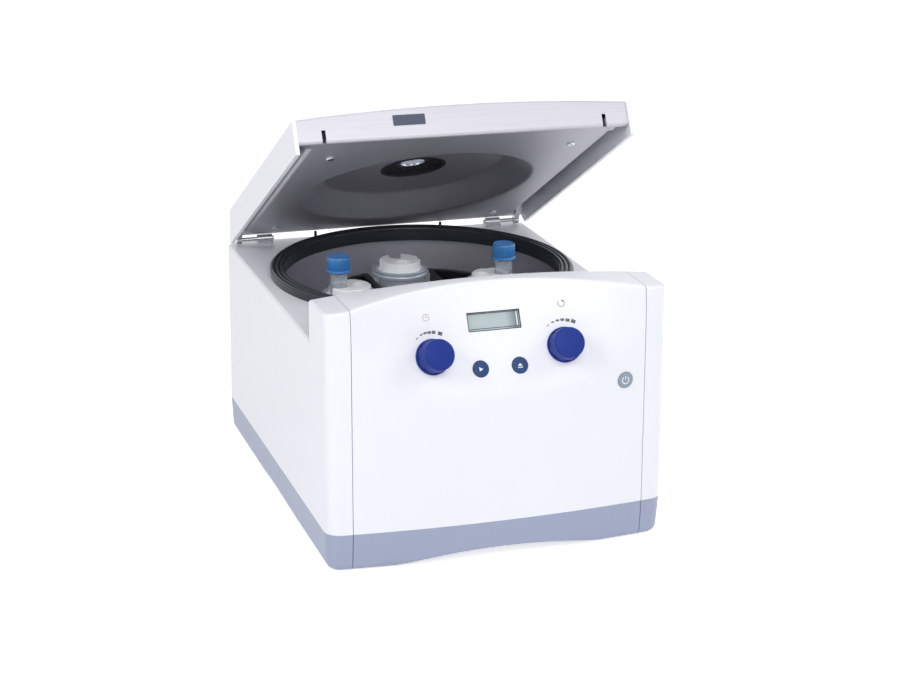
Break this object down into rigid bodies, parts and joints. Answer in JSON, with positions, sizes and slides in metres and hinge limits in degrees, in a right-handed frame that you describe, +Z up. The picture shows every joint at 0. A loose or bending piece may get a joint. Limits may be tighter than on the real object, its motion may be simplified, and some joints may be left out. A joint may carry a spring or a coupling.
{
  "type": "benchtop centrifuge",
  "caption": "Benchtop swing-bucket centrifuge with a hinged lid, a cross rotor with tube buckets, two knobs, push buttons and a small display.",
  "frame": {"origin": "Centre of the footprint, knobs and mains inlet included, on the bench under the rubber feet", "axes": "+X to the right seen from the front, +Y to the rear, +Z up; metres. The lid stands open by 29.4 degrees at rest."},
  "size_m": [0.32, 0.4052, 0.3901],
  "materials": {
    "white_housing": "satin",
    "grey_base": "matte",
    "black_rubber": "matte",
    "bowl_steel": "satin",
    "lid_steel": "satin",
    "zinc_steel": "satin",
    "bright_steel": "polished",
    "black_metal": "satin",
    "black_plastic": "matte",
    "white_plastic": "satin",
    "clear_plastic": "clear",
    "cap_blue": "satin",
    "knob_blue": "satin",
    "button_navy": "satin",
    "button_grey": "satin",
    "display_glass": "gloss",
    "port_glass": "clear",
    "board_green": "matte",
    "motor_grey": "satin",
    "motor_iron": "matte",
    "supply_steel": "satin",
    "prong_brass": "polished"
  },
  "bodies": {
    "base": {"base_tray": "grey_base", "base_front_trim": "grey_base", "rubber_feet": "black_rubber", "housing_shell": "white_housing", "front_panel": "white_housing", "chamber_gasket": "black_rubber", "chamber_bowl": "bowl_steel", "shaft_boot": "black_rubber", "motor_can": "motor_grey", "motor_stator": "motor_iron", "motor_bearings": "bright_steel", "motor_mount": "supply_steel", "motor_dampers": "black_rubber", "display_frame": "black_plastic", "lcd_module": "display_glass", "control_board": "board_green", "knob_encoders": "motor_grey", "power_switch": "black_plastic", "latch_solenoids": "motor_grey", "hinge_brackets": "bright_steel", "hinge_pins": "bright_steel", "lid_stop_pins": "black_metal", "mains_inlet": "black_plastic", "inlet_prongs": "prong_brass", "fuse_drawer": "black_plastic", "power_supply": "supply_steel", "drive_board": "board_green"},
    "lid": {"lid_shell": "white_housing", "lid_plate": "lid_steel", "lid_screws": "bright_steel", "lip_label": "black_plastic", "port_cup": "black_plastic", "port_ring": "bright_steel", "port_glass": "port_glass", "lid_hinge_arms": "supply_steel"},
    "rotor": {"rotor_cross": "black_metal", "trunnion_pins": "bright_steel", "rotor_nut": "bright_steel", "motor_shaft": "bright_steel", "motor_armature": "motor_iron"},
    "time_knob_turns": {"time_knob": "knob_blue", "time_knob_spindle": "bright_steel"},
    "speed_knob_turns": {"speed_knob": "knob_blue", "speed_knob_spindle": "bright_steel"},
    "short_run_button_slides": {"short_run_button": "button_navy"},
    "lid_release_button_slides": {"lid_release_button": "button_navy"},
    "power_button_slides": {"power_button": "button_grey"},
    "latch": {"latch_bar": "bright_steel"},
    "bucket_right_swings": {"bucket_right": "zinc_steel", "adapter_right": "white_plastic", "tube_right": "clear_plastic", "cap_right": "cap_blue"},
    "bucket_rear_swings": {"bucket_rear": "zinc_steel", "adapter_rear": "white_plastic"},
    "bucket_left_swings": {"bucket_left": "zinc_steel", "adapter_left": "white_plastic", "tube_left": "clear_plastic", "cap_left": "cap_blue"},
    "bucket_front_swings": {"bucket_front": "zinc_steel", "adapter_front": "white_plastic"}
  },
  "joints": [
    {"name": "lid_hinge", "type": "hinge", "parent": "base", "child": "lid", "pos_m": [0, 0.187, 0.205], "axis": [-1, 0, 0], "range_deg": [-29.4, 35.6]},
    {"name": "rotor_spin", "type": "hinge", "parent": "base", "child": "rotor", "pos_m": [0, 0.0435, 0.165], "axis": [0, 0, 1], "continuous": true},
    {"name": "bucket_right_swing", "type": "hinge", "parent": "rotor", "child": "bucket_right_swings", "pos_m": [0.073, 0.0435, 0.169], "axis": [0, -1, 0], "range_deg": [0, 90]},
    {"name": "bucket_rear_swing", "type": "hinge", "parent": "rotor", "child": "bucket_rear_swings", "pos_m": [0, 0.1165, 0.169], "axis": [1, 0, 0], "range_deg": [0, 90]},
    {"name": "bucket_left_swing", "type": "hinge", "parent": "rotor", "child": "bucket_left_swings", "pos_m": [-0.073, 0.0435, 0.169], "axis": [0, 1, 0], "range_deg": [0, 90]},
    {"name": "bucket_front_swing", "type": "hinge", "parent": "rotor", "child": "bucket_front_swings", "pos_m": [0, -0.0295, 0.169], "axis": [-1, 0, 0], "range_deg": [0, 90]},
    {"name": "time_knob_turn", "type": "hinge", "parent": "base", "child": "time_knob_turns", "pos_m": [-0.0617, -0.17986, 0.1905], "axis": [-0.0811, 0.9073, -0.4125], "range_deg": [-150, 150]},
    {"name": "speed_knob_turn", "type": "hinge", "parent": "base", "child": "speed_knob_turns", "pos_m": [0.0617, -0.17986, 0.1905], "axis": [0.0811, 0.9073, -0.4125], "range_deg": [-150, 150]},
    {"name": "short_run_button_press", "type": "slide", "parent": "base", "child": "short_run_button_slides", "axis": [-0.0148, 0.8864, -0.4627], "range_m": [0, 0.0015], "stiffness_N_per_m": 400, "springref_m": -0.001},
    {"name": "lid_release_button_press", "type": "slide", "parent": "base", "child": "lid_release_button_slides", "axis": [0.0148, 0.8864, -0.4627], "range_m": [0, 0.0015], "stiffness_N_per_m": 400, "springref_m": -0.001},
    {"name": "power_button_press", "type": "slide", "parent": "base", "child": "power_button_slides", "axis": [-0.0903, 0.9953, -0.0348], "range_m": [0, 0.0015], "stiffness_N_per_m": 400, "springref_m": -0.001},
    {"name": "latch_bolts_slide", "type": "slide", "parent": "base", "child": "latch", "axis": [0, 1, 0], "range_m": [0, 0.006], "stiffness_N_per_m": 150, "springref_m": -0.003}
  ]
}
